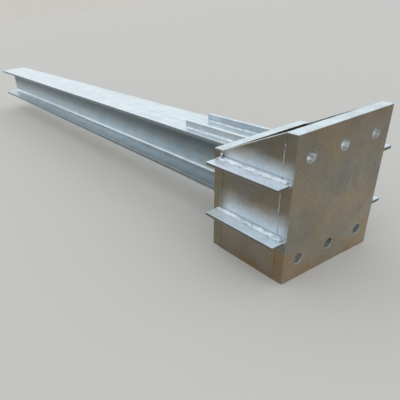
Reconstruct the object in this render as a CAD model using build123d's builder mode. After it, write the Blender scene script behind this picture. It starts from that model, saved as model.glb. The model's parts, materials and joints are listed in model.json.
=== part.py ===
from build123d import *
import os

# Railway catenary mast: a rolled wide-flange column standing in a welded boot on a thick base plate.
# All sizes are in millimetres. The mast stands along Z, with the lower face of its base plate at zero.
# The column's web lies in the YZ plane, and the boot's low side faces -Y, which is called the front.

# Column
mast_height = 4000.0
column_depth = 240.0  # over both flanges, along Y
flange_width = 240.0
flange_thickness = 17.0
web_thickness = 10.0
root_radius = 21.0  # between web and flange
flange_edge_radius = 2.0

# Base plate
base_width = 490.0  # along X
base_depth = 580.0  # along Y
base_thickness = 45.0
bolt_hole_diameter = 44.0
bolt_pitch_x = 170.0
bolt_pitch_y = 400.0
bolt_columns = 3
bolt_rows = 2

# Boot
boot_height = 380.0  # from the ground to the collar plate's upper face
collar_thickness = 45.0
collar_front_reach = 157.0  # from the mast's axis to the collar plate's front edge
column_clearance = 0.5  # round the column where it passes through the collar plate
side_plate_thickness = 20.0
plate_edge_break = 2.0  # chamfer on flame-cut plate edges

# Ribs outside the side plates, level with the column's flanges
side_rib_reach = 60.0
side_rib_thickness = 12.0
side_rib_foot = 8.0  # height of the rib's lower end above the ground
side_rib_top = 362.0
side_rib_corner = 3.0  # rounding of the rib's outer corners

# Ribs on the outer faces of the flanges, above the collar plate
flange_rib_spacing = 140.0  # between the middles of a pair
flange_rib_thickness = 14.0
flange_rib_height = 36.0  # how far it stands off the flange
flange_rib_length = 400.0
flange_rib_edge_break = 1.5

# Fillet welds, by the length of their legs
side_rib_weld_leg = 14.0
flange_rib_weld_leg = 7.0
column_weld_leg = 12.0
side_plate_weld_leg = 12.0
weld_stop = 15.0  # left bare at each end of a side plate's welds

# Places that follow from the sizes above
flange_middle = (column_depth - flange_thickness) / 2
web_depth = column_depth - 2 * flange_thickness
collar_underside = boot_height - collar_thickness
side_plate_middle = (base_width - side_plate_thickness) / 2
side_plate_inside = base_width / 2 - side_plate_thickness
back_edge = base_depth / 2
collar_middle = (back_edge - collar_front_reach) / 2
collar_depth = back_edge + collar_front_reach
side_rib_length = side_rib_top - side_rib_foot
flange_rib_half = flange_rib_thickness / 2 + flange_rib_weld_leg
sides = (("left", -1), ("right", 1))
faces = (("front", -1), ("back", 1))

os.makedirs("parts", exist_ok=True)


def finish(piece, name):
    """Labels a finished piece and writes it as its own STEP file."""
    piece.part.label = name
    export_step(piece.part, f"parts/{name}.step")


def weld_profile(x, y, dx, dy):
    """Draws a fillet weld's triangle in the open sketch, from its right angle at x, y with legs dx and dy."""
    Polygon((x, y), (x + dx, y), (x, y + dy), align=None)


# Section of the column, with its root fillets and slightly rounded flange edges
with BuildSketch() as column_section:
    with Locations((0, -flange_middle), (0, flange_middle)):
        Rectangle(flange_width, flange_thickness)
    Rectangle(web_thickness, web_depth)
    by_distance = column_section.vertices().sort_by_distance((0, 0))
    fillet(by_distance[:4], root_radius)
    flange_corners = column_section.vertices().group_by(Axis.X)
    fillet(flange_corners[0] + flange_corners[-1], flange_edge_radius)

# Column, from the base plate to the tip
with BuildPart() as column:
    with BuildSketch(Plane.XY.offset(base_thickness)):
        add(column_section.sketch)
    extrude(amount=mast_height - base_thickness)
finish(column, "column")

# Base plate, with its anchor bolt holes
with BuildPart() as base_plate:
    with BuildSketch():
        Rectangle(base_width, base_depth)
    extrude(amount=base_thickness)
    chamfer(base_plate.edges().filter_by(Axis.Z), plate_edge_break)
    chamfer(base_plate.faces().sort_by(Axis.Z)[0].edges(), plate_edge_break)
    with Locations(base_plate.faces().sort_by(Axis.Z)[-1]):
        with GridLocations(bolt_pitch_x, bolt_pitch_y, bolt_columns, bolt_rows):
            Hole(bolt_hole_diameter / 2)
finish(base_plate, "base_plate")

# Collar plate, cut to the column's section, which passes through it at the top of the boot
with BuildPart() as collar_plate:
    with BuildSketch(Plane.XY.offset(collar_underside)):
        with Locations((0, collar_middle)):
            Rectangle(base_width, collar_depth)
    extrude(amount=collar_thickness)
    chamfer(collar_plate.edges().filter_by(Axis.Z), plate_edge_break)
    chamfer(collar_plate.faces().sort_by(Axis.Z)[-1].edges(), plate_edge_break)
    with BuildSketch(Plane.XY.offset(collar_underside)):
        add(column_section.sketch)
        offset(amount=column_clearance)
    extrude(amount=collar_thickness, mode=Mode.SUBTRACT)
finish(collar_plate, "collar_plate")

# Side plates of the boot, cut back at the front from the base plate up to the collar plate
for side, hand in sides:
    with BuildPart() as side_plate:
        with BuildSketch(Plane.YZ.offset(hand * side_plate_middle)):
            with BuildLine():
                Polyline(
                    (-back_edge, base_thickness),
                    (back_edge, base_thickness),
                    (back_edge, collar_underside),
                    (-collar_front_reach, collar_underside),
                    close=True,
                )
            make_face()
        extrude(amount=side_plate_thickness / 2, both=True)
        sloping_face = side_plate.faces().sort_by(Axis.Y)[0]
        chamfer(sloping_face.edges().filter_by(Axis.X, reverse=True), plate_edge_break)
    finish(side_plate, f"side_plate_{side}")

    # Fillet welds inside the boot, under the collar plate and along the base plate
    with BuildPart() as side_plate_weld:
        with BuildSketch(Plane.XZ):
            weld_profile(
                hand * side_plate_inside, base_thickness, -hand * side_plate_weld_leg, side_plate_weld_leg
            )
        extrude(amount=base_depth / 2 - weld_stop, both=True)
        with BuildSketch(Plane.XZ.offset(-collar_middle)):
            weld_profile(
                hand * side_plate_inside, collar_underside, -hand * side_plate_weld_leg, -side_plate_weld_leg
            )
        extrude(amount=collar_depth / 2 - weld_stop, both=True)
    finish(side_plate_weld, f"side_plate_weld_{side}")

# Ribs outside the side plates, each with the pair of fillet welds along its root
for side, hand in sides:
    for face, way in faces:
        with BuildPart() as side_rib:
            with BuildSketch(Plane.XZ.offset(-way * flange_middle)):
                with Locations((hand * (base_width + side_rib_reach) / 2, side_rib_foot + side_rib_length / 2)):
                    Rectangle(side_rib_reach, side_rib_length)
            extrude(amount=side_rib_thickness / 2, both=True)
            outer_corners = side_rib.edges().filter_by(Axis.Y).sort_by(lambda edge: -hand * edge.center().X)[:2]
            fillet(outer_corners, side_rib_corner)
        finish(side_rib, f"side_rib_{side}_{face}")

        with BuildPart() as side_rib_weld:
            with BuildSketch(Plane.XY.offset(side_rib_foot)):
                for turn in (-1, 1):
                    rib_surface = way * flange_middle + turn * side_rib_thickness / 2
                    weld_profile(
                        hand * base_width / 2, rib_surface, hand * side_rib_weld_leg, turn * side_rib_weld_leg
                    )
            extrude(amount=side_rib_length)
        finish(side_rib_weld, f"side_rib_weld_{side}_{face}")

# Ribs on the flanges, standing on the collar plate, each with its pair of fillet welds
for face, way in faces:
    flange_surface = way * column_depth / 2
    for side, hand in sides:
        rib_place = hand * flange_rib_spacing / 2
        with BuildPart() as flange_rib:
            with BuildSketch(Plane.XY.offset(boot_height)):
                with Locations((rib_place, flange_surface + way * flange_rib_height / 2)):
                    Rectangle(flange_rib_thickness, flange_rib_height)
            extrude(amount=flange_rib_length)
            outer_edges = flange_rib.edges().filter_by(Axis.Z).sort_by(lambda edge: -way * edge.center().Y)[:2]
            chamfer(outer_edges, flange_rib_edge_break)
        finish(flange_rib, f"flange_rib_{face}_{side}")

        with BuildPart() as flange_rib_weld:
            with BuildSketch(Plane.XY.offset(boot_height)):
                for turn in (-1, 1):
                    rib_surface = rib_place + turn * flange_rib_thickness / 2
                    weld_profile(
                        rib_surface, flange_surface, turn * flange_rib_weld_leg, way * flange_rib_weld_leg
                    )
            extrude(amount=flange_rib_length)
        finish(flange_rib_weld, f"flange_rib_weld_{face}_{side}")

# Fillet welds along the flanges, on the base plate and, between the ribs, on the collar plate
rib_gaps = (
    (-flange_width / 2, -flange_rib_spacing / 2 - flange_rib_half),
    (-flange_rib_spacing / 2 + flange_rib_half, flange_rib_spacing / 2 - flange_rib_half),
    (flange_rib_spacing / 2 + flange_rib_half, flange_width / 2),
)
for face, way in faces:
    with BuildPart() as column_foot_weld:
        with BuildSketch(Plane.YZ):
            weld_profile(way * column_depth / 2, base_thickness, way * column_weld_leg, column_weld_leg)
        extrude(amount=flange_width / 2, both=True)
    finish(column_foot_weld, f"column_foot_weld_{face}")

    with BuildPart() as column_collar_weld:
        for start, end in rib_gaps:
            with BuildSketch(Plane.YZ.offset(start)):
                weld_profile(way * column_depth / 2, boot_height, way * column_weld_leg, column_weld_leg)
            extrude(amount=end - start)
    finish(column_collar_weld, f"column_collar_weld_{face}")
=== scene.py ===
import json
import logging
import math
from dataclasses import dataclass
from enum import Enum
from typing import Optional, Sequence

import bpy
import numpy as np
from mathutils import Matrix, Vector

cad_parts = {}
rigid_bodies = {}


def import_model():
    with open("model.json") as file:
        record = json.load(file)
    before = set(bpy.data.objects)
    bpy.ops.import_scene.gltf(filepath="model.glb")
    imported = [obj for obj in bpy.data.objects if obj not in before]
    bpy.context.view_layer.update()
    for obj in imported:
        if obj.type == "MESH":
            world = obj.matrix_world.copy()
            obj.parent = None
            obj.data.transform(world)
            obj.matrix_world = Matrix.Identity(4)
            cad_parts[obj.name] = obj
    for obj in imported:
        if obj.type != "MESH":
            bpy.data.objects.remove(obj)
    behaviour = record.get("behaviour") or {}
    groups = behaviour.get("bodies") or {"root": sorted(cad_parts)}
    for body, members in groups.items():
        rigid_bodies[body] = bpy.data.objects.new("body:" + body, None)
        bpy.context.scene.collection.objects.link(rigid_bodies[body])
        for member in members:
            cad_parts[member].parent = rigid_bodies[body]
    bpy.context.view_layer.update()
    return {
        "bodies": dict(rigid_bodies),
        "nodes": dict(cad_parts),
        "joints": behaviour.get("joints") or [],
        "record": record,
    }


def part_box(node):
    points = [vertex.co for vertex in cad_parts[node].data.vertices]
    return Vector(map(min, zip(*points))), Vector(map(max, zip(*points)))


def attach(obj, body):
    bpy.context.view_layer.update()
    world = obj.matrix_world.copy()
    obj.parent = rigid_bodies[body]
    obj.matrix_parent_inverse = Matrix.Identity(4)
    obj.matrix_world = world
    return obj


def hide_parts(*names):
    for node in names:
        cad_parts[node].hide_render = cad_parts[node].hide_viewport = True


# The railway catenary mast: its galvanised finishes, its rippled weld beads, and the scene it is shown in.
# Lengths are in metres. The mast stands along Z, its web lies in the YZ plane, and -Y is its front.

LOG = logging.getLogger("catenary_mast")

Colour = tuple[float, float, float]
Point = tuple[float, float, float]
Span = tuple[float, float]
Mesh = bpy.types.Mesh
Socket = bpy.types.NodeSocket


class Way(Enum):
    """A choice between two opposite directions, by their sign."""

    @property
    def word(self) -> str:
        """The word for this direction in the names of nodes."""
        return self.name.lower()


class Side(Way):
    """The mast's two sides, along X."""

    LEFT = -1
    RIGHT = 1


class Face(Way):
    """The mast's two flanges, along Y."""

    FRONT = -1
    BACK = 1


class Slot(Enum):
    """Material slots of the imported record."""

    SECTION = "galvanised_section"
    PLATE = "galvanised_plate"
    RIB = "galvanised_rib"
    WELD = "galvanised_weld"


@dataclass(frozen=True)
class Pattern:
    """A noise pattern on object coordinates.

    Attributes:
        repeats: How many times it repeats in a metre, or in the length that noise() is given.
        detail: How many finer layers it has.
        scale: Stretch along each axis.
        blend: How strong the finer layers are.
        turn: Angle by which it is turned about Z.
        limits: The values that become 0 and 1, where it is stretched between them.
    """

    repeats: float
    detail: float
    scale: Point = (1.0, 1.0, 1.0)
    blend: float = 0.55
    turn: float = 0.0
    limits: Optional[Span] = None


class NodeGraph:
    """A tree of nodes, built with short calls.

    Attributes:
        mix_colours: Which inputs of a Mix node take its two colours.
        mix_result: Which output gives the blended colour.
    """

    mix_colours: tuple[int, int] = (6, 7)
    mix_result: int = 2

    def __init__(self, tree: bpy.types.NodeTree) -> None:
        """Empties a tree to build in.

        Args:
            tree: The tree.
        """
        self.tree = tree
        tree.nodes.clear()

    def node(self, kind: str, **values: object) -> bpy.types.Node:
        """Adds a node.

        Args:
            kind: The node's type.
            values: Properties of the node, or else values of its input sockets by name.

        Returns:
            The new node.
        """
        made = self.tree.nodes.new(kind)
        for key, value in values.items():
            if hasattr(made, key):
                setattr(made, key, value)
            else:
                self.feed(made.inputs[key.replace("_", " ")], value)
        return made

    def feed(self, socket: Socket, value: object) -> None:
        """Links a socket to another socket, or sets its value.

        Args:
            socket: The input socket.
            value: An output socket, or a plain value.
        """
        if isinstance(value, Socket):
            self.tree.links.new(value, socket)
        elif socket.type == "RGBA":
            socket.default_value = (*value, 1.0)
        else:
            socket.default_value = value

    def feed_all(self, made: bpy.types.Node, values: Sequence[object]) -> bpy.types.Node:
        """Feeds the first inputs of a node in their order.

        Args:
            made: The node.
            values: Sockets or plain values.

        Returns:
            The node.
        """
        for socket, value in zip(made.inputs, values):
            self.feed(socket, value)
        return made

    def math(self, operation: str, *terms: object) -> Socket:
        """Adds a Math node.

        Args:
            operation: Blender's name of the operation.
            terms: The numbers or sockets that it takes.

        Returns:
            The result's socket.
        """
        return self.feed_all(self.node("ShaderNodeMath", operation=operation), terms).outputs[0]

    def product(self, first: object, *others: object) -> Socket:
        """Multiplies numbers.

        Args:
            first: The first number or socket.
            others: The others.

        Returns:
            The product's socket.
        """
        for other in others:
            first = self.math("MULTIPLY", first, other)
        return first

    def vector(self, operation: str, *terms: object) -> bpy.types.NodeOutputs:
        """Adds a Vector Math node.

        Args:
            operation: Blender's name of the operation.
            terms: The vectors or sockets that it takes.

        Returns:
            The node's outputs, Vector and Value.
        """
        return self.feed_all(self.node("ShaderNodeVectorMath", operation=operation), terms).outputs

    def scaled(self, vector: object, factor: object) -> Socket:
        """Multiplies a vector or a colour by a number.

        Args:
            vector: The vector, the colour or its socket.
            factor: The number or its socket.

        Returns:
            The result's socket.
        """
        made = self.node("ShaderNodeVectorMath", operation="SCALE", Scale=factor)
        return self.feed_all(made, [vector]).outputs["Vector"]

    def axes(self, vector: Socket) -> tuple[Socket, ...]:
        """Splits a vector into its three numbers.

        Args:
            vector: The vector's socket.

        Returns:
            The sockets of the numbers along X, Y and Z.
        """
        return tuple(self.node("ShaderNodeSeparateXYZ", Vector=vector).outputs)

    def ramp(self, value: Socket, low: float, high: float) -> Socket:
        """Stretches the part of a value between two limits to the range from 0 to 1.

        Args:
            value: The value's socket.
            low: What becomes 0.
            high: What becomes 1.

        Returns:
            The smooth, clamped result.
        """
        made = self.node("ShaderNodeMapRange", interpolation_type="SMOOTHSTEP", Value=value)
        self.feed(made.inputs["From Min"], low)
        self.feed(made.inputs["From Max"], high)
        return made.outputs["Result"]

    def mix(self, share: object, first: object, second: object, blend: str = "MIX") -> Socket:
        """Blends two colours.

        Args:
            share: How much of the second colour shows.
            first: The first colour or socket.
            second: The second colour or socket.
            blend: Blender's name of the blend.

        Returns:
            The blended colour.
        """
        made = self.node("ShaderNodeMix", data_type="RGBA", blend_type=blend, Factor=share)
        for index, colour in zip(self.mix_colours, (first, second)):
            self.feed(made.inputs[index], colour)
        return made.outputs[self.mix_result]


class ShaderGraph(NodeGraph):
    """A material's graph, with its Principled shader and the numbers that its patterns read.

    Attributes:
        material: The material.
        output: Its output node.
        shader: Its Principled shader.
        place: The object coordinates.
        x, y, z: Their three numbers.
        facing_x, facing_y: How far the surface faces along X and Y.
    """

    def __init__(self, name: str) -> None:
        """Makes an empty material.

        Args:
            name: The material's name.
        """
        self.material = bpy.data.materials.new(name)
        self.material.use_nodes = True
        super().__init__(self.material.node_tree)
        self.output = self.node("ShaderNodeOutputMaterial")
        self.shader = self.node("ShaderNodeBsdfPrincipled")
        self.feed(self.output.inputs["Surface"], self.shader.outputs["BSDF"])
        coordinates = self.node("ShaderNodeTexCoord")
        self.place = coordinates.outputs["Object"]
        self.x, self.y, self.z = self.axes(self.place)
        self.facing_x, self.facing_y = self.axes(coordinates.outputs["Normal"])[:2]

    def noise(self, pattern: Pattern, length: float = 1.0) -> Socket:
        """Adds a noise pattern.

        Args:
            pattern: What it is like.
            length: The length in which it repeats as often as the pattern says.

        Returns:
            The pattern, from 0 to 1.
        """
        turned = self.node("ShaderNodeMapping", Vector=self.place, Rotation=(0.0, 0.0, pattern.turn))
        stretched = self.node("ShaderNodeMapping", Vector=turned.outputs["Vector"], Scale=pattern.scale)
        made = self.node(
            "ShaderNodeTexNoise",
            Vector=stretched.outputs["Vector"],
            Scale=pattern.repeats / length,
            Detail=pattern.detail,
            Roughness=pattern.blend,
        )
        value = made.outputs["Fac"]
        return self.ramp(value, *pattern.limits) if pattern.limits else value

    def rounded(self, radius: float, samples: int) -> Socket:
        """Rounds the normal at the edges.

        Args:
            radius: How far from an edge this reaches.
            samples: How many rays find the edges.

        Returns:
            The rounded normal.
        """
        return self.node("ShaderNodeBevel", samples=samples, Radius=radius).outputs["Normal"]


@dataclass(frozen=True)
class BoltHoles:
    """The anchor bolt holes of the base plate, whose walls carry thick bright zinc with painted light and
    shade.

    Attributes:
        pitch: Distance between the holes of a row, along X.
        row: Distance of a row from the mast's axis, along Y.
        radius: Radius of a hole.
        rim: Width of the ring round a hole that takes the walls' painted light and shade.
        depth: How far the holes reach from the mast's lower end.
        zinc: Colour of the walls where these face the front, with painted light.
        painted_wall_shade: Colour of the walls that face the back, as painted shade.
        lit_span: How far along Y the walls with painted shade and those with painted light face.
        metallic: How metallic the walls look.
    """

    pitch: float = 0.17
    row: float = 0.2
    radius: float = 0.022
    rim: float = 0.0014
    depth: float = 0.0456
    zinc: Colour = (0.94, 0.96, 0.96)
    painted_wall_shade: Colour = (0.32, 0.35, 0.35)
    lit_span: Span = (0.35, -0.5)
    metallic: float = 0.8

    def colour(self, graph: ShaderGraph) -> Socket:
        """Makes the colour of the holes' walls.

        Args:
            graph: The graph to add to.

        Returns:
            The colour, with painted light where a wall faces the front and painted shade where it faces the
            back.
        """
        # Painted light and shade: the walls are pale where they face the front and dark where they face the
        # back.
        return graph.mix(graph.ramp(graph.facing_y, *self.lit_span), self.painted_wall_shade, self.zinc)

    def mask(self, graph: ShaderGraph) -> Socket:
        """Finds the walls of the holes.

        Args:
            graph: The graph to add to.

        Returns:
            A mask that is 1 on a hole's wall.
        """
        across = graph.math("ABSOLUTE", graph.x)
        outer = graph.math("ABSOLUTE", graph.math("SUBTRACT", across, self.pitch))
        across = graph.math("MINIMUM", across, outer)
        along = graph.math("SUBTRACT", graph.math("ABSOLUTE", graph.y), self.row)
        squares = graph.math("ADD", graph.product(across, across), graph.product(along, along))
        near = graph.ramp(graph.math("SQRT", squares), self.radius + self.rim, self.radius)
        return graph.product(near, graph.math("LESS_THAN", graph.z, self.depth))


@dataclass(frozen=True)
class Rubbing:
    """The slanting rubbed marks on the base plate.

    Attributes:
        strength: How strongly they show.
        bright: Their colour.
        middle: The middle of the patch that they cover.
        reach: Radius of this patch.
        core: Share of this radius within which they don't fade.
        marks: Their pattern.
    """

    strength: float = 0.32
    bright: Colour = (0.40, 0.38, 0.33)
    middle: Point = (0.13, -0.07, 0.0)
    reach: float = 0.12
    core: float = 0.4
    marks: Pattern = Pattern(1.0, 2.0, (58.0, 9.0, 58.0), blend=0.5, turn=-0.3, limits=(0.52, 0.68))

    def draw(self, graph: ShaderGraph, colour: Socket) -> Socket:
        """Draws the marks.

        Args:
            graph: The graph to add to.
            colour: The plate's colour.

        Returns:
            The new colour.
        """
        apart = graph.vector("DISTANCE", graph.place, self.middle)["Value"]
        where = graph.ramp(apart, self.reach, self.core * self.reach)
        shown = graph.product(graph.noise(self.marks), where, self.strength)
        return graph.mix(shown, colour, self.bright)


@dataclass(frozen=True)
class Ledge:
    """A side rib, and the strip in front of it where its painted reflection lies.

    Attributes:
        place: The middle of the rib, along Y.
        much: How strong the painted reflection is.
        width: Width of the strip.
    """

    place: float
    much: float
    width: float


@dataclass(frozen=True)
class Gathering:
    """The painted reflections of the side ribs on the boot's sides, and the painted shadows along the toes of
    the ribs' welds.

    Attributes:
        ledges: The side ribs.
        colour: Colour of the painted reflection.
        span: Heights between which it lies.
        fade: How far within these it fades in.
        wander: How far the strips' edges wander along Y.
        wandering: The pattern in which they do.
        toe: Distance from each ledge to the painted shadow along the toe of its weld.
        toe_line: Half the width of this line.
        toe_core: Share of this within which the line doesn't fade.
        toe_dark: Its colour.
        toe_strength: How strongly it shows.
    """

    ledges: tuple[Ledge, ...] = (Ledge(-0.1175, 0.82, 0.068), Ledge(0.1055, 0.92, 0.1))
    colour: Colour = (0.65, 0.737, 0.80)
    span: Span = (-0.04, 0.362)
    fade: float = 0.085
    wander: float = 0.05
    wandering: Pattern = Pattern(9.0, 3.0)
    toe: float = 0.0165
    toe_line: float = 0.0045
    toe_core: float = 0.3
    toe_dark: Colour = (0.20, 0.21, 0.20)
    toe_strength: float = 0.5

    def draw(self, graph: ShaderGraph, colour: Socket, sideways: Socket) -> Socket:
        """Paints the ribs' reflections and the shadows along their welds' toes.

        Args:
            graph: The graph to add to.
            colour: The plate's colour.
            sideways: A mask that is 1 on the faces along X.

        Returns:
            The new colour.
        """
        uneven = graph.math("MULTIPLY_ADD", graph.noise(self.wandering), self.wander, graph.y)
        foot, head = self.span
        kept = graph.product(
            graph.ramp(graph.z, foot, foot + self.fade), graph.ramp(graph.z, head, head - self.fade)
        )
        sideways = graph.product(sideways, kept)
        for ledge in self.ledges:
            # Painted reflection of the rib on the plate in front of it.
            near = graph.ramp(uneven, ledge.place - ledge.width, ledge.place)
            in_front = graph.math("LESS_THAN", graph.y, ledge.place)
            strip = graph.product(near, in_front, sideways, ledge.much)
            colour = graph.mix(strip, colour, self.colour)
            # Painted shadow along the toe of the rib's weld.
            apart = graph.math("ABSOLUTE", graph.math("SUBTRACT", graph.y, ledge.place - self.toe))
            line = graph.ramp(apart, self.toe_line, self.toe_core * self.toe_line)
            colour = graph.mix(graph.product(line, sideways, self.toe_strength), colour, self.toe_dark)
        return colour


@dataclass(frozen=True)
class Shelter:
    """Painted shade between the column's flanges and on their edges.

    Attributes:
        recess: Half the distance between the flanges' inner faces.
        depth: Brightness between the flanges, at the boot and further up.
        heights: The heights that these two hold for.
        web: Brightness of the web beside its front flange and beside its back one.
        web_span: The places along Y that these two hold for.
        edge: Brightness of the flanges' edges.
    """

    recess: float = 0.1035
    depth: Span = (0.66, 0.84)
    heights: Span = (0.4, 1.9)
    web: Span = (0.36, 1.2)
    web_span: Span = (-0.04, 0.09)
    edge: float = 0.42

    def darken(self, graph: ShaderGraph, colour: Socket, sideways: Socket) -> Socket:
        """Paints shade into the recesses of the section and onto its flanges' edges.

        Args:
            graph: The graph to add to.
            colour: The column's colour.
            sideways: A mask that is 1 on the faces along X.

        Returns:
            The new colour.
        """
        # Painted shade: darker between the flanges towards the boot, on the web beside its front flange, and
        # on the flanges' edges.
        low, high = self.depth
        depth = graph.math("MULTIPLY_ADD", graph.ramp(graph.z, *self.heights), high - low, low)
        front, back = self.web
        web = graph.math("MULTIPLY_ADD", graph.ramp(graph.y, *self.web_span), back - front, front - 1.0)
        shade = graph.product(depth, graph.math("MULTIPLY_ADD", web, sideways, 1.0))
        edge = graph.math("MULTIPLY_ADD", sideways, self.edge - 1.0, 1.0)
        inside = graph.math("LESS_THAN", graph.math("ABSOLUTE", graph.y), self.recess)
        return graph.mix(inside, graph.scaled(colour, edge), graph.scaled(colour, shade))


@dataclass(frozen=True)
class Coating:
    """The relief of the zinc, and its bright edges, partly wear and partly painted highlight.

    Attributes:
        edge: Width of the bright edges, which are rounded too.
        samples: How many rays find them.
        worn_span: How alike the rounded and the true normal are beside an edge and on it.
        wear_and_highlight: How strongly the bright edges show.
        height: Height of the fine bumps.
        strength: How strongly they show.
        crystals: Share of the zinc crystals in them.
        grains: Pattern of the grains.
        graininess: Share of the grains.
        waves: Pattern of the long waves.
        waviness: Share of the waves.
    """

    edge: float = 0.0022
    samples: int = 4
    worn_span: Span = (0.97, 0.80)
    wear_and_highlight: float = 0.6
    height: float = 0.00035
    strength: float = 0.55
    crystals: float = 0.35
    grains: Pattern = Pattern(420.0, 3.0)
    graininess: float = 0.3
    waves: Pattern = Pattern(26.0, 2.0, (1.0, 1.0, 0.35))
    waviness: float = 2.2

    def edges(self, graph: ShaderGraph) -> Socket:
        """Finds the bright edges, partly wear and partly painted highlight, where the rounded normal leaves
        the true one.

        Args:
            graph: The graph to add to.

        Returns:
            A mask of how bright the edges are.
        """
        true = graph.node("ShaderNodeNewGeometry").outputs["Normal"]
        alike = graph.vector("DOT_PRODUCT", graph.rounded(self.edge, self.samples), true)["Value"]
        return graph.product(graph.ramp(alike, *self.worn_span), self.wear_and_highlight)

    def normal(self, graph: ShaderGraph, crystals: Socket) -> Socket:
        """Makes the bumped normal.

        Args:
            graph: The graph to add to.
            crystals: Distance from the middle of each zinc crystal.

        Returns:
            The normal.
        """
        grains = graph.product(graph.noise(self.grains), self.graininess)
        height = graph.math("ADD", graph.product(crystals, self.crystals), grains)
        height = graph.math("ADD", height, graph.product(graph.noise(self.waves), self.waviness))
        bump = graph.node("ShaderNodeBump", Strength=self.strength, Distance=self.height, Height=height)
        graph.feed(bump.inputs["Normal"], graph.rounded(self.edge, self.samples))
        return bump.outputs["Normal"]


@dataclass(frozen=True)
class GalvanisedFinish:
    """Hot-dip zinc on steel: spangle, mottling, long streaks, a warm bloom, bright edges of wear and painted
    highlight, and painted shade by the way faces point.

    Attributes:
        slot: The material slot that it is for, which names the material too.
        pale: Colour of the zinc where it is fresh.
        dull: Colour where it has weathered.
        painted_light_rearward: How much brighter both get towards the back, in each metre, as painted light.
        drained: Tint of the boot's faces along X and Z: painted shade, with a painted reflection of the brown
            ground.
        painted_light_on_shade: How much brighter the painted shade tint gets towards the back, in each metre,
            as painted light.
        painted_shade_aloft: The same painted shade tint above the boot.
        boot_top: Heights between which the boot's painted shade tint gives way to the one above.
        across: How bright the boot's faces along X are, against those along Z, as painted shade.
        drained_span: How far along Y a face points where it has none of the painted shade, and where it has
            it fully.
        sideways_span: How far along X a face points where it is hardly sideways, and where it fully is.
        tints: How much the faces along X and Z turn from a warm grey to a cool one.
        tint_warm: The warm tint.
        tint_cool: The cool tint.
        tint_patches: Pattern of the two.
        warm: Colour of the bloom, from rust and dust.
        warmth: Share of the surface that the bloom reaches, from 0 to 1.
        settling: How much more of it there is towards the back, in each metre.
        bloom: Pattern of the bloom.
        bloom_span: Values of this pattern at which the bloom starts and is full, without any warmth.
        bloom_growth: How much lower these two are at a warmth of 1.
        spangle: Size of the zinc crystals.
        spangle_contrast: How much one crystal differs from the next.
        mottle: Size of the weathered patches.
        patches: Pattern of these patches.
        streaks: Share of the streaks along the mast in the weathering.
        streaking: Pattern of these streaks.
        metallic: How metallic the zinc looks.
        roughness: Least and greatest roughness.
        coating: The relief, and the bright edges of wear and painted highlight.
        rubbing: The rubbed marks, where it has any.
        gathering: The painted reflections of the side ribs and the painted shadows at their welds' toes,
            where it has any.
        shelter: The painted shade between the flanges, where it has any.
        holes: The bolt holes, where it has any.
    """

    slot: Slot
    pale: Colour
    dull: Colour
    painted_light_rearward: float = 0.0
    drained: Colour = (0.70, 0.74, 0.74)
    painted_light_on_shade: float = 0.0
    painted_shade_aloft: Colour = (0.69, 0.75, 0.775)
    boot_top: Span = (0.386, 0.40)
    across: float = 1.0
    drained_span: Span = (0.75, 0.25)
    sideways_span: Span = (0.3, 0.8)
    tints: float = 0.5
    tint_warm: Colour = (1.06, 0.945, 0.78)
    tint_cool: Colour = (0.90, 0.98, 1.10)
    tint_patches: Pattern = Pattern(0.8, 3.0, (0.8, 1.0, 1.0), limits=(0.3, 0.7))
    warm: Colour = (0.42, 0.30, 0.18)
    warmth: float = 0.1
    settling: float = 0.0
    bloom: Pattern = Pattern(1.3, 6.0, (1.0, 1.0, 0.6), blend=0.6)
    bloom_span: Span = (0.78, 0.98)
    bloom_growth: Span = (0.5, 0.3)
    spangle: float = 0.009
    spangle_contrast: float = 0.10
    mottle: float = 0.11
    patches: Pattern = Pattern(1.0, 5.0, limits=(0.36, 0.66))
    streaks: float = 0.25
    streaking: Pattern = Pattern(1.0, 4.0, (70.0, 70.0, 1.6), limits=(0.35, 0.7))
    metallic: float = 0.9
    roughness: Span = (0.28, 0.42)
    coating: Coating = Coating()
    rubbing: Optional[Rubbing] = None
    gathering: Optional[Gathering] = None
    shelter: Optional[Shelter] = None
    holes: Optional[BoltHoles] = None

    def material(self) -> bpy.types.Material:
        """Builds the finish as a procedural material.

        Returns:
            The material.
        """
        graph = ShaderGraph(self.slot.value)
        cell = graph.node("ShaderNodeTexVoronoi", Vector=graph.place, Scale=1 / self.spangle, Randomness=1.0)
        crystal = graph.node("ShaderNodeSeparateColor", Color=cell.outputs["Color"])
        colour = self.drain(graph, self.weathered(graph))
        if self.rubbing:
            colour = self.rubbing.draw(graph, colour)
        contrast = self.spangle_contrast
        spread = graph.math("MULTIPLY_ADD", crystal.outputs["Red"], contrast, 1 - contrast / 2)
        # Bright edges: partly wear, partly painted highlight.
        colour = graph.mix(self.coating.edges(graph), graph.scaled(colour, spread), self.pale)
        metallic: object = self.metallic
        if self.holes:
            walls = self.holes.mask(graph)
            colour = graph.mix(walls, colour, self.holes.colour(graph))
            metallic = graph.math("MULTIPLY_ADD", walls, self.holes.metallic - self.metallic, self.metallic)
        smooth, rough = self.roughness
        values = {
            "Base Color": colour,
            "Metallic": metallic,
            "Roughness": graph.math("MULTIPLY_ADD", crystal.outputs["Green"], rough - smooth, smooth),
            "Normal": self.coating.normal(graph, cell.outputs["Distance"]),
        }
        for name, value in values.items():
            graph.feed(graph.shader.inputs[name], value)
        return graph.material

    def weathered(self, graph: ShaderGraph) -> Socket:
        """Mixes the pale and the dull zinc in patches and streaks, with painted light that grows towards the
        back.

        Args:
            graph: The graph to add to.

        Returns:
            The colour of thick zinc.
        """
        streaks = graph.product(graph.noise(self.streaking), self.streaks)
        # The weathered colour.
        patches = graph.product(graph.noise(self.patches, self.mottle), 1 - self.streaks)
        colour = graph.mix(graph.math("ADD", patches, streaks), self.pale, self.dull)
        # Painted light: brighter towards the back.
        return graph.scaled(colour, graph.math("MULTIPLY_ADD", graph.y, self.painted_light_rearward, 1.0))

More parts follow.
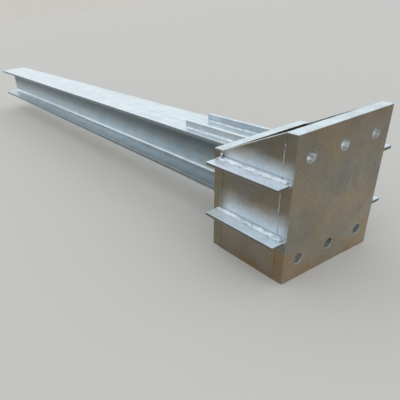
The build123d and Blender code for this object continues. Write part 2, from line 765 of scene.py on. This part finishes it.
    def blooming(self, graph: ShaderGraph) -> Socket:
        """Finds where the warm bloom lies.

        Args:
            graph: The graph to add to.

        Returns:
            A mask that is 1 on the bloom.
        """
        settled = graph.math("MULTIPLY_ADD", graph.y, self.settling, graph.noise(self.bloom, self.mottle))
        limits = [value - growth * self.warmth for value, growth in zip(self.bloom_span, self.bloom_growth)]
        return graph.ramp(settled, *limits)

    def drain(self, graph: ShaderGraph, colour: Socket) -> Socket:
        """Paints shade on the faces along X and Z, then the ribs' painted reflections and the painted shade
        between the flanges.

        Args:
            graph: The graph to add to.
            colour: The weathered colour.

        Returns:
            The new colour.
        """
        # Painted shade: the faces along X and Z take a darker, browner tint, a painted reflection of the
        # ground.
        shaded_faces = graph.ramp(graph.math("ABSOLUTE", graph.facing_y), *self.drained_span)
        high = graph.ramp(graph.z, *self.boot_top)
        hue = graph.mix(graph.noise(self.tint_patches, self.mottle), self.tint_warm, self.tint_cool)
        hue = graph.mix(1.0, colour, hue, "MULTIPLY")
        colour = graph.mix(graph.product(shaded_faces, self.tints), colour, hue)
        # Painted light: the painted shade tint lightens towards the back.
        drained = graph.scaled(self.drained, graph.math("MULTIPLY_ADD", graph.y, self.painted_light_on_shade, 1.0))
        tint = graph.mix(high, drained, self.painted_shade_aloft)
        colour = graph.mix(shaded_faces, colour, graph.mix(1.0, colour, tint, "MULTIPLY"))
        colour = graph.mix(graph.product(self.blooming(graph), shaded_faces), colour, self.warm)
        sideways = graph.ramp(graph.math("ABSOLUTE", graph.facing_x), *self.sideways_span)
        # Painted shade: in the boot, the faces along X are darker than those along Z.
        painted_shade_sides = graph.product(sideways, graph.math("SUBTRACT", 1.0, high))
        colour = graph.scaled(colour, graph.math("MULTIPLY_ADD", painted_shade_sides, self.across - 1.0, 1.0))
        if self.gathering:
            colour = self.gathering.draw(graph, colour, sideways)
        if self.shelter:
            colour = self.shelter.darken(graph, colour, sideways)
        return colour


FINISHES = (
    GalvanisedFinish(
        Slot.SECTION,
        pale=(0.80, 0.86, 0.89),
        dull=(0.62, 0.69, 0.72),
        painted_shade_aloft=(0.685, 0.765, 0.805),
        warmth=0.05,
        streaks=0.55,
        tints=0.4,
        shelter=Shelter(),
    ),
    GalvanisedFinish(
        Slot.PLATE,
        pale=(0.74, 0.82, 0.855),
        dull=(0.605, 0.665, 0.675),
        drained=(0.440, 0.356, 0.271),
        painted_light_on_shade=0.8,
        across=0.74,
        warm=(0.40, 0.265, 0.14),
        warmth=0.42,
        settling=0.6,
        tints=1.0,
        streaks=0.15,
        spangle=0.011,
        mottle=0.14,
        rubbing=Rubbing(),
        gathering=Gathering(),
        holes=BoltHoles(),
    ),
    GalvanisedFinish(
        Slot.RIB,
        pale=(0.79, 0.87, 0.945),
        dull=(0.61, 0.69, 0.77),
        painted_light_rearward=0.1,
        drained=(0.31, 0.275, 0.22),
        painted_shade_aloft=(0.66, 0.67, 0.66),
        across=0.6,
        warmth=0.04,
        streaks=0.35,
        mottle=0.08,
        metallic=0.5,
    ),
    GalvanisedFinish(
        Slot.WELD,
        pale=(0.72, 0.78, 0.83),
        dull=(0.50, 0.57, 0.62),
        drained=(0.58, 0.58, 0.56),
        metallic=0.7,
        warmth=0.03,
        spangle=0.004,
        spangle_contrast=0.06,
        mottle=0.03,
        streaks=0.1,
        roughness=(0.30, 0.46),
    ),
)


def mesh_object(name: str, mesh: Mesh) -> bpy.types.Object:
    """Puts a mesh in the scene as an object at the origin.

    Args:
        name: The object's name.
        mesh: Its mesh.

    Returns:
        The object.
    """
    made = bpy.data.objects.new(name, mesh)
    bpy.context.scene.collection.objects.link(made)
    return made


def joined(name: str, meshes: Sequence[Mesh]) -> bpy.types.Object:
    """Joins several meshes into one object, with smooth faces and the first mesh's material.

    Args:
        name: The object's name.
        meshes: The meshes, which are removed afterwards.

    Returns:
        The object.
    """
    points: list[np.ndarray] = []
    faces: list[tuple[int, ...]] = []
    start = 0
    for mesh in meshes:
        places = np.empty(len(mesh.vertices) * 3)
        mesh.vertices.foreach_get("co", places)
        points.append(places.reshape(-1, 3))
        faces += [tuple(start + corner for corner in face.vertices) for face in mesh.polygons]
        start += len(mesh.vertices)
    result = bpy.data.meshes.new(name)
    result.from_pydata(np.concatenate(points).tolist(), [], faces)
    result.materials.append(meshes[0].materials[0])
    result.shade_smooth()
    for mesh in meshes:
        bpy.data.meshes.remove(mesh)
    return mesh_object(name, result)


@dataclass(frozen=True)
class BeadShape:
    """Sizes of a weld bead.

    Attributes:
        radius: Radius of the bead's round back.
        sink: How deep its middle lies under each face it joins, as a share of the radius.
        ripple_length: Length of one ripple along the bead.
        ripple_height: How far a ripple stands out.
        lump_length: Length of the uneven swellings.
        lump_height: How far they stand out.
        spacing: Distance between the rings of points along the bead.
        around: Number of points in a ring.
    """

    radius: float
    sink: float = 0.42
    ripple_length: float = 0.006
    ripple_height: float = 0.0006
    lump_length: float = 0.045
    lump_height: float = 0.0022
    spacing: float = 0.0016
    around: int = 30

    @property
    def depth(self) -> float:
        """How deep the bead's middle lies under each face it joins."""
        return self.sink * self.radius


class BeadTree(NodeGraph):
    """The geometry node tree that lays a rippled weld bead along a path.

    The ring that is swept along the path has most of its points where it faces outward. Behind, it is
    drawn in, so that the bead's back stays inside the plates that it joins.

    Attributes:
        numbers: The inputs that are plain numbers.
        least_end: Least size of the bead's rounded ends, as a share of the full one.
        ripple_lag: How far a ripple's sides trail its middle, in radii.
        lump_detail: How many finer layers the lumps have.
        crowding: How strongly the ring's points crowd towards its open side.
        back_limit: Cosine of the angle at which the ring is drawn in most.
        back_span: How much the cosine grows from there to where the ring is full.
        back_least: The ring's least radius, as a share of the full one.
    """

    numbers: Sequence[str] = (
        "Radius", "Ripple Length", "Ripple Height", "Lump Length", "Lump Height", "Spacing", "Seed"
    )
    least_end: float = 0.12
    ripple_lag: float = 2.0
    lump_detail: float = 3.0
    crowding: float = 0.8
    back_limit: float = 0.35
    back_span: float = 0.5
    back_least: float = 0.1

    def __init__(self) -> None:
        """Builds the tree and its named inputs."""
        super().__init__(bpy.data.node_groups.new("weld_bead", "GeometryNodeTree"))
        self.sockets: dict[str, str] = {}
        kinds = {"Path": "Geometry"}
        kinds.update(dict.fromkeys(self.numbers, "Float"))
        kinds.update({"Around": "Int", "Outward": "Vector", "Finish": "Material"})
        face = self.tree.interface
        for name, kind in kinds.items():
            made = face.new_socket(name, in_out="INPUT", socket_type=f"NodeSocket{kind}")
            self.sockets[name] = made.identifier
        face.new_socket("Bead", in_out="OUTPUT", socket_type="NodeSocketGeometry")
        self.inputs = self.node("NodeGroupInput").outputs
        self.build()

    def through(self, kind: str, geometry: Socket, **values: object) -> Socket:
        """Passes geometry through a node.

        Args:
            kind: The node's type.
            geometry: The geometry's socket.
            values: Properties of the node, or else values of its input sockets by name.

        Returns:
            The geometry that comes out.
        """
        return self.feed_all(self.node(kind, **values), [geometry]).outputs[0]

    def build(self) -> None:
        """Adds the nodes: the path, its rounded ends, the ring swept along it, and the finished bead."""
        path = self.through("GeometryNodeMeshToCurve", self.inputs["Path"])
        path = self.through("GeometryNodeResampleCurve", path, mode="LENGTH", Length=self.inputs["Spacing"])
        place = self.node("GeometryNodeSplineParameter").outputs["Length"]
        whole = self.node("GeometryNodeSplineLength").outputs["Length"]
        to_end = self.math("MINIMUM", place, self.math("SUBTRACT", whole, place))
        share = self.math("MINIMUM", self.math("DIVIDE", to_end, self.inputs["Radius"]), 1.0)
        swell = self.math("MAXIMUM", self.arch(self.math("SUBTRACT", 1.0, share)), self.least_end)
        for name, value in (("along", place), ("swell", swell)):
            kind = "GeometryNodeStoreNamedAttribute"
            path = self.through(kind, path, data_type="FLOAT", domain="POINT", Name=name, Value=value)
        ring = self.node("GeometryNodeCurvePrimitiveCircle", Resolution=self.inputs["Around"])
        self.feed(ring.inputs["Radius"], self.inputs["Radius"])
        bead = self.through("GeometryNodeCurveToMesh", path, Scale=swell, Fill_Caps=True)
        self.feed(bead.node.inputs["Profile Curve"], ring.outputs["Curve"])
        bead = self.through("GeometryNodeSetPosition", bead, Offset=self.relief())
        bead = self.through("GeometryNodeSetShadeSmooth", bead)
        bead = self.through("GeometryNodeRealizeInstances", bead)
        bead = self.through("GeometryNodeSetMaterial", bead, Material=self.inputs["Finish"])
        self.feed(self.node("NodeGroupOutput").inputs["Bead"], bead)

    def arch(self, value: Socket) -> Socket:
        """Works out the height of a round arch.

        Args:
            value: Distance from its middle, as a share of its radius.

        Returns:
            The height, as a share of the radius.
        """
        return self.math("SQRT", self.math("SUBTRACT", 1.0, self.product(value, value)))

    def stored(self, name: str) -> Socket:
        """Reads a number that was stored on the path.

        Args:
            name: Its name.

        Returns:
            The number's socket.
        """
        return self.node("GeometryNodeInputNamedAttribute", data_type="FLOAT", Name=name).outputs[0]

    def relief(self) -> Socket:
        """Works out how far each point moves: ripples and lumps, and a back that is drawn in.

        Returns:
            The offset's socket.
        """
        radius, outward, swell = self.inputs["Radius"], self.inputs["Outward"], self.stored("swell")
        normal = self.node("GeometryNodeInputNormal").outputs["Normal"]
        crowded = self.vector("MULTIPLY_ADD", outward, (self.crowding,) * 3, normal)["Vector"]
        ray = self.vector("NORMALIZE", crowded)["Vector"]
        facing = self.vector("DOT_PRODUCT", ray, outward)["Value"]

        lag = self.product(self.math("SUBTRACT", 1.0, facing), radius, self.ripple_lag)
        phase = self.math("DIVIDE", self.math("ADD", self.stored("along"), lag), self.inputs["Ripple Length"])
        swing = self.math("SUBTRACT", self.product(self.math("FRACT", phase), 2.0), 1.0)
        ripples = self.product(self.arch(swing), self.inputs["Ripple Height"])

        noise = self.node(
            "ShaderNodeTexNoise",
            noise_dimensions="4D",
            Vector=self.node("GeometryNodeInputPosition").outputs["Position"],
            W=self.inputs["Seed"],
            Scale=self.math("DIVIDE", 1.0, self.inputs["Lump Length"]),
            Detail=self.lump_detail,
        )
        centred = self.math("SUBTRACT", noise.outputs["Fac"], 0.5)
        lumps = self.product(centred, 2.0, self.inputs["Lump Height"])

        kept = self.math("DIVIDE", self.math("SUBTRACT", facing, self.back_limit), self.back_span)
        kept = self.math("MINIMUM", self.math("MAXIMUM", kept, self.back_least), 1.0)
        reach = self.math("ADD", self.math("ADD", ripples, lumps), self.product(kept, radius))
        to_middle = self.scaled(normal, self.product(radius, swell, -1.0))
        outer = self.scaled(ray, self.product(reach, swell))
        return self.vector("ADD", to_middle, outer)["Vector"]

    def lay(
        self,
        path: Sequence[Point],
        outward: Point,
        shape: BeadShape,
        seed: float,
        finish: bpy.types.Material,
    ) -> Mesh:
        """Lays one bead.

        Args:
            path: The points that the bead follows.
            outward: The direction that its open side faces.
            shape: Its sizes.
            seed: Seed of its lumps.
            finish: Its material.

        Returns:
            The bead as a plain mesh.
        """
        line = bpy.data.meshes.new("bead_path")
        line.from_pydata([Vector(point) for point in path], [(i, i + 1) for i in range(len(path) - 1)], [])
        carrier = mesh_object("bead_path", line)
        modifier = carrier.modifiers.new("bead", "NODES")
        modifier.node_group = self.tree
        values = {
            "Radius": shape.radius,
            "Ripple Length": shape.ripple_length,
            "Ripple Height": shape.ripple_height,
            "Lump Length": shape.lump_length,
            "Lump Height": shape.lump_height,
            "Spacing": shape.spacing,
            "Around": shape.around,
            "Seed": seed,
            "Outward": tuple(Vector(outward).normalized()),
            "Finish": finish,
        }
        for name, value in values.items():
            modifier[self.sockets[name]] = value
        graph = bpy.context.evaluated_depsgraph_get()
        result = bpy.data.meshes.new_from_object(carrier.evaluated_get(graph))
        carrier.modifiers.clear()
        bpy.data.objects.remove(carrier)
        bpy.data.meshes.remove(line)
        return result


@dataclass
class Welds:
    """All the weld beads of the mast.

    Most stand for the plain fillets of the frame. The slim seams outside the side plates, the stretches
    of bright zinc on them and the knots at their front ends stand for nothing in it.

    Attributes:
        beads: The tree that lays a bead.
        finishes: The materials by slot.
        rib_shape: The thick beads along the side ribs.
        rib_end_shape: The short beads round the side ribs' ends.
        plate_shape: The beads between plates and round the column.
        slim_shape: The slim beads along the flange ribs.
        head_seam_shape: The rougher seams outside the side plates' heads.
        knot_shape: The rough knots of weld at the head seams' front ends.
        seam_shape: The ground seams outside the side plates' feet.
        bright_shape: The stretches of bright zinc on these seams.
        bright_shares: Where they start and end, as shares of each bay in front of the back ribs.
        seam_stop: How far the seams end before the plates' edges.
        knot_stop: How far behind the collar plate's front the knots start.
        wrap: How far a rib's end bead reaches past the rib's faces.
        seed_step: How much the seed grows from one bead to the next.
        laid: Number of beads laid so far.
    """

    beads: BeadTree
    finishes: dict[Slot, bpy.types.Material]
    rib_shape: BeadShape = BeadShape(0.0222, lump_height=0.0055, lump_length=0.03, ripple_height=0.0009)
    rib_end_shape: BeadShape = BeadShape(0.0112, lump_height=0.002)
    plate_shape: BeadShape = BeadShape(0.0225)
    slim_shape: BeadShape = BeadShape(0.0140, lump_height=0.0022, spacing=0.002, ripple_height=0.0004)
    head_seam_shape: BeadShape = BeadShape(
        0.0072, sink=0.80, lump_height=0.0048, lump_length=0.028, around=24
    )
    knot_shape: BeadShape = BeadShape(0.0115, sink=0.52, lump_height=0.0075, lump_length=0.011)
    seam_shape: BeadShape = BeadShape(0.0042, sink=0.84, lump_height=0.0030, lump_length=0.04, around=24)
    bright_shape: BeadShape = BeadShape(
        0.0050, sink=0.7056, lump_height=0.0036, lump_length=0.03, around=24
    )
    bright_shares: tuple[Span, ...] = ((0.2, 0.66), (0.06, 0.58))
    seam_stop: float = 0.004
    knot_stop: float = 0.008
    wrap: float = 0.006
    seed_step: float = 3.7
    laid: int = 0

    def bead(self, path: Sequence[Point], outward: Point, shape: BeadShape, slot: Slot = Slot.WELD) -> Mesh:
        """Lays the next bead, with a seed of its own.

        Args:
            path: The points that the bead follows.
            outward: The direction that its open side faces.
            shape: Its sizes.
            slot: Its material slot, which is the plates' where it was ground down.

        Returns:
            The bead's mesh.
        """
        self.laid += 1
        return self.beads.lay(path, outward, shape, self.seed_step * self.laid, self.finishes[slot])

    def piece(self, name: str, meshes: Sequence[Mesh], slot: Slot = Slot.WELD, node: str = "") -> None:
        """Joins beads into one piece.

        Args:
            name: The piece's name.
            meshes: The beads.
            slot: Their material slot.
            node: The fillet of the frame that the piece stands for, if it does.
        """
        made = joined(name, meshes)
        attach(made, "root")
        if node:
            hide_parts(node)
        LOG.info("%s: %d faces", name, len(made.data.polygons))

    def fillet(self, node: str, meshes: Sequence[Mesh]) -> None:
        """Joins beads into the piece that stands for a fillet of the frame.

        Args:
            node: The fillet's node.
            meshes: The beads.
        """
        self.piece(node.replace("weld", "bead"), meshes, node=node)

    def side_ribs(self) -> None:
        """Lays a bead along both faces of each side rib, and a short one round each of its ends."""
        for side in Side:
            for face in Face:
                low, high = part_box(f"side_rib_{side.word}_{face.word}")
                root = low.x if side is Side.RIGHT else high.x
                shape = self.rib_shape
                depth = root - side.value * shape.depth
                meshes = []
                for row, turn in ((low.y + shape.depth, -1.0), (high.y - shape.depth, 1.0)):
                    path = [(depth, row, high.z), (depth, row, low.z)]
                    meshes.append(self.bead(path, (side.value, turn, 0.0), shape))
                shape = self.rib_end_shape
                depth = root - side.value * shape.depth
                for row, turn in ((low.z + shape.depth, -1.0), (high.z - shape.depth, 1.0)):
                    path = [(depth, low.y - self.wrap, row), (depth, high.y + self.wrap, row)]
                    meshes.append(self.bead(path, (side.value, 0.0, turn), shape))
                self.fillet(f"side_rib_weld_{side.word}_{face.word}", meshes)

    def flange_ribs(self) -> None:
        """Lays a slim bead along both faces of each flange rib."""
        shape = self.slim_shape
        for face in Face:
            for side in Side:
                low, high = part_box(f"flange_rib_{face.word}_{side.word}")
                root = high.y if face is Face.FRONT else low.y
                depth = root - face.value * shape.depth
                meshes = []
                for row, turn in ((low.x + shape.depth, -1.0), (high.x - shape.depth, 1.0)):
                    path = [(row, depth, high.z), (row, depth, low.z)]
                    meshes.append(self.bead(path, (turn, face.value, 0.0), shape))
                self.fillet(f"flange_rib_weld_{face.word}_{side.word}", meshes)

    def side_plates(self) -> None:
        """Lays the beads inside the boot, along each side plate's foot and under the collar plate."""
        shape = self.plate_shape
        collar_low, collar_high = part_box("collar_plate")
        for side in Side:
            plate_low, plate_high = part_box(f"side_plate_{side.word}")
            weld_low, weld_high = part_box(f"side_plate_weld_{side.word}")
            inside = plate_high.x if side is Side.LEFT else plate_low.x
            row = inside + side.value * shape.depth
            foot, head = plate_low.z - shape.depth, plate_high.z + shape.depth
            stop = weld_low.y - plate_low.y
            lower = [(row, weld_low.y, foot), (row, weld_high.y, foot)]
            upper = [(row, collar_low.y + stop, head), (row, collar_high.y - stop, head)]
            meshes = [
                self.bead(lower, (-side.value, 0.0, 1.0), shape),
                self.bead(upper, (-side.value, 0.0, -1.0), shape),
            ]
            self.fillet(f"side_plate_weld_{side.word}", meshes)

    def column(self) -> None:
        """Lays the beads along the flanges, on the base plate and, between the ribs, on the collar plate."""
        shape = self.plate_shape
        low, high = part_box("column")
        foot = low.z - shape.depth
        for face in Face:
            surface = low.y if face is Face.FRONT else high.y
            depth = surface - face.value * shape.depth
            path = [(low.x, depth, foot), (high.x, depth, foot)]
            outward = (0.0, face.value, 1.0)
            self.fillet(f"column_foot_weld_{face.word}", [self.bead(path, outward, shape)])
            left_low, left_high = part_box(f"flange_rib_{face.word}_left")
            right_low, right_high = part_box(f"flange_rib_{face.word}_right")
            height = left_low.z - shape.depth
            meshes = []
            for start, end in ((low.x, left_low.x), (left_high.x, right_low.x), (right_high.x, high.x)):
                path = [(start, depth, height), (end, depth, height)]
                meshes.append(self.bead(path, outward, shape))
            self.fillet(f"column_collar_weld_{face.word}", meshes)

    def outside(self, side: Side, shape: BeadShape, span: Span, height: float, slot: Slot) -> Mesh:
        """Lays a bead on the outer face of a side plate.

        Args:
            side: The plate's side.
            shape: The bead's sizes.
            span: Where it starts and ends, along Y.
            height: Its height.
            slot: Its material slot.

        Returns:
            The bead's mesh.
        """
        low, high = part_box(f"side_plate_{side.word}")
        surface = low.x if side is Side.LEFT else high.x
        depth = surface - side.value * shape.depth
        return self.bead([(depth, place, height) for place in span], (side.value, 0.0, 0.0), shape, slot)

    def seams(self) -> None:
        """Lays the slim seams outside, where the side plates meet the base plate and the collar plate.

        The ground foot seam shows bright zinc only in stretches, in front of the back ribs. The head seam
        ends in knots, in front of the front ribs.
        """
        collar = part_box("collar_plate")[0]
        for side in Side:
            low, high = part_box(f"side_plate_{side.word}")
            front_low, front_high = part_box(f"side_rib_{side.word}_front")
            back_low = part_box(f"side_rib_{side.word}_back")[0]
            back, knots = high.y - self.seam_stop, collar.y + self.knot_stop
            stretches = []
            bays = ((low.y, front_low.y), (front_high.y, back_low.y))
            for (start, end), shares in zip(bays, self.bright_shares):
                stretches.append(tuple(start + share * (end - start) for share in shares))
            rows = (
                ("head_seam", self.head_seam_shape, [(collar.y + self.seam_stop, back)], high.z, Slot.PLATE),
                ("head_knots", self.knot_shape, [(knots, front_low.y)], high.z, Slot.WELD),
                ("foot_seam", self.seam_shape, [(low.y + self.seam_stop, back)], low.z, Slot.PLATE),
                ("foot_zinc", self.bright_shape, stretches, low.z, Slot.WELD),
            )
            for word, shape, spans, height, slot in rows:
                meshes = [self.outside(side, shape, span, height, slot) for span in spans]
                self.piece(f"side_plate_{word}_{side.word}", meshes, slot)

    def build(self) -> None:
        """Lays every bead."""
        self.seams()
        self.side_ribs()
        self.flange_ribs()
        self.side_plates()
        self.column()


class Steelwork:
    """The plates, ribs and column that come from the frame, with their finishes."""

    def __init__(self) -> None:
        """Makes one material for each finish."""
        self.finishes = {finish.slot: finish.material() for finish in FINISHES}

    def dress(self, frame: dict) -> None:
        """Gives each node of the frame the material of its slot.
        """
        slots = {entry["node"]: Slot(entry["material_slot"]) for entry in frame["record"]["subparts"]}
        for name, piece in frame["nodes"].items():
            material = self.finishes[slots[name]]
            piece.data.materials.clear()
            piece.data.materials.append(material)
            LOG.info("%s: %s", name, material.name)


@dataclass(frozen=True)
class Stage:
    """The pale floor that the mast lies towards, the ground that it can stand on, and the light.

    Attributes:
        reach: Half the width of the floor and of the ground.
        gap: Distance of the floor from the mast's back edge.
        step: Height of the ground over the mast's foot, which hides the base plate's broken edge.
        pale: Colour of the floor and the ground.
        roughness: How matt they are.
        sky: Colour of the light from the front.
        horizon: Colour of the light from level with the floor, and from behind it.
        horizon_span: How far along Y a direction points where the sky ends and the horizon begins.
        sun: Strength of the soft lamp.
        sun_width: Its width, in degrees.
        sun_way: The direction in which it shines.
    """

    reach: float = 40.0
    gap: float = 0.0005
    step: float = 0.0021
    pale: Colour = (0.53, 0.51, 0.48)
    roughness: float = 0.9
    sky: Colour = (0.86, 0.91, 0.945)
    horizon: Colour = (0.60, 0.58, 0.55)
    horizon_span: Span = (-0.16, -0.02)
    sun: float = 0.66
    sun_width: float = 130.0
    sun_way: Point = (0.35, 1.0, -0.25)

    def plane(self, name: str, corners: Sequence[Point], material: bpy.types.Material) -> None:
        """Lays one plane of the stage.

        Args:
            name: The plane's name.
            corners: Its corners, in the order that turns its front towards the mast.
            material: Its material.
        """
        mesh = bpy.data.meshes.new(name)
        mesh.from_pydata(corners, [], [(0, 1, 2, 3)])
        mesh.materials.append(material)
        mesh_object(name, mesh)

    def floor(self) -> None:
        """Lays the floor along the plates' back edges, and the ground under the base plate."""
        low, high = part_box("base_plate")
        level, foot = high.y + self.gap, low.z + self.step
        far = self.reach
        square = ((-far, -far), (far, -far), (far, far), (-far, far))
        material = self.floor_material()
        self.plane("floor", [(across, level, along) for across, along in square], material)
        self.plane("ground", [(across, along, foot) for across, along in square], material)

    def floor_material(self) -> bpy.types.Material:
        """Builds the matt material of the stage, which can be seen through from behind.

        Returns:
            The material.
        """
        graph = ShaderGraph("pale_floor")
        graph.feed(graph.shader.inputs["Base Color"], self.pale)
        graph.feed(graph.shader.inputs["Roughness"], self.roughness)
        behind = graph.node("ShaderNodeNewGeometry").outputs["Backfacing"]
        rays = graph.node("ShaderNodeLightPath")
        seen = graph.math("MAXIMUM", rays.outputs["Is Camera Ray"], rays.outputs["Is Glossy Ray"])
        seen = graph.math("MAXIMUM", seen, rays.outputs["Is Transmission Ray"])
        shown = graph.product(seen, graph.math("SUBTRACT", 1.0, behind))
        clear = graph.node("ShaderNodeBsdfTransparent")
        mixed = graph.node("ShaderNodeMixShader")
        graph.feed_all(mixed, [shown, clear.outputs[0], graph.shader.outputs[0]])
        graph.feed(graph.output.inputs["Surface"], mixed.outputs[0])
        return graph.material

    def light(self) -> None:
        """Makes the soft lamp and a world that is palest towards the front."""
        world = bpy.data.worlds.new("overcast")
        world.use_nodes = True
        graph = NodeGraph(world.node_tree)
        direction = graph.node("ShaderNodeTexCoord").outputs["Generated"]
        share = graph.ramp(graph.axes(direction)[1], *self.horizon_span)
        background = graph.node("ShaderNodeBackground", Color=graph.mix(share, self.sky, self.horizon))
        graph.node("ShaderNodeOutputWorld", Surface=background.outputs[0])
        bpy.context.scene.world = world

        lamp = bpy.data.lights.new("soft_lamp", "SUN")
        lamp.energy = self.sun
        lamp.angle = math.radians(self.sun_width)
        made = bpy.data.objects.new("soft_lamp", lamp)
        bpy.context.scene.collection.objects.link(made)
        made.rotation_euler = Vector(self.sun_way).to_track_quat("-Z", "Y").to_euler()


@dataclass(frozen=True)
class PhotoCamera:
    """The camera at the photograph's viewing angle, beside the foot of the lying mast.

    Attributes:
        position: Where it stands.
        aim: The point on the web's plane that it looks at.
        upward: The floor's direction of up, as the mast lies.
        roll: Its roll about its axis, in degrees, from level over the floor.
        lens: Focal length in millimetres.
        sensor: Width of the sensor in millimetres.
        shift: The lens's shift along the picture's width and height.
        clip: The nearest and the farthest distance that it sees.
    """

    position: Point = (-1.2908, -0.7147, -0.8043)
    aim: Point = (0.0, 0.8841, 1.7769)
    upward: Point = (0.0, -1.0, 0.0)
    roll: float = -6.442
    lens: float = 36.513
    sensor: float = 36.0
    shift: Span = (0.2, 0.0552)
    clip: Span = (0.01, 200.0)

    def place(self) -> None:
        """Makes the camera and sets it as the scene's."""
        data = bpy.data.cameras.new("photo_camera")
        data.sensor_width = self.sensor
        data.lens = self.lens
        data.shift_x, data.shift_y = self.shift
        data.clip_start, data.clip_end = self.clip
        camera = bpy.data.objects.new("photo_camera", data)
        bpy.context.scene.collection.objects.link(camera)
        forward = (Vector(self.aim) - Vector(self.position)).normalized()
        level = forward.cross(Vector(self.upward)).normalized()
        upright = level.cross(forward)
        turn = math.radians(self.roll)
        right = level * math.cos(turn) + upright * math.sin(turn)
        turned = Matrix((right, right.cross(forward), -forward)).transposed().to_4x4()
        camera.matrix_world = Matrix.Translation(self.position) @ turned
        bpy.context.scene.camera = camera


def corners(bounds: Sequence[Vector]) -> list[list[float]]:
    """Turns two corners into plain lists of numbers.

    Args:
        bounds: The lowest and the highest corner.

    Returns:
        The two corners as lists.
    """
    return [list(corner) for corner in bounds]


def main() -> None:
    """Dresses the mast, lights it and sets the camera."""
    logging.basicConfig(level=logging.INFO, format="%(name)s: %(message)s")
    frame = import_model()
    bpy.context.scene.view_settings.view_transform = "Standard"
    PhotoCamera().place()
    steelwork = Steelwork()
    steelwork.dress(frame)
    Welds(BeadTree(), steelwork.finishes).build()
    stage = Stage()
    stage.floor()
    stage.light()


if __name__ == "__main__":
    main()
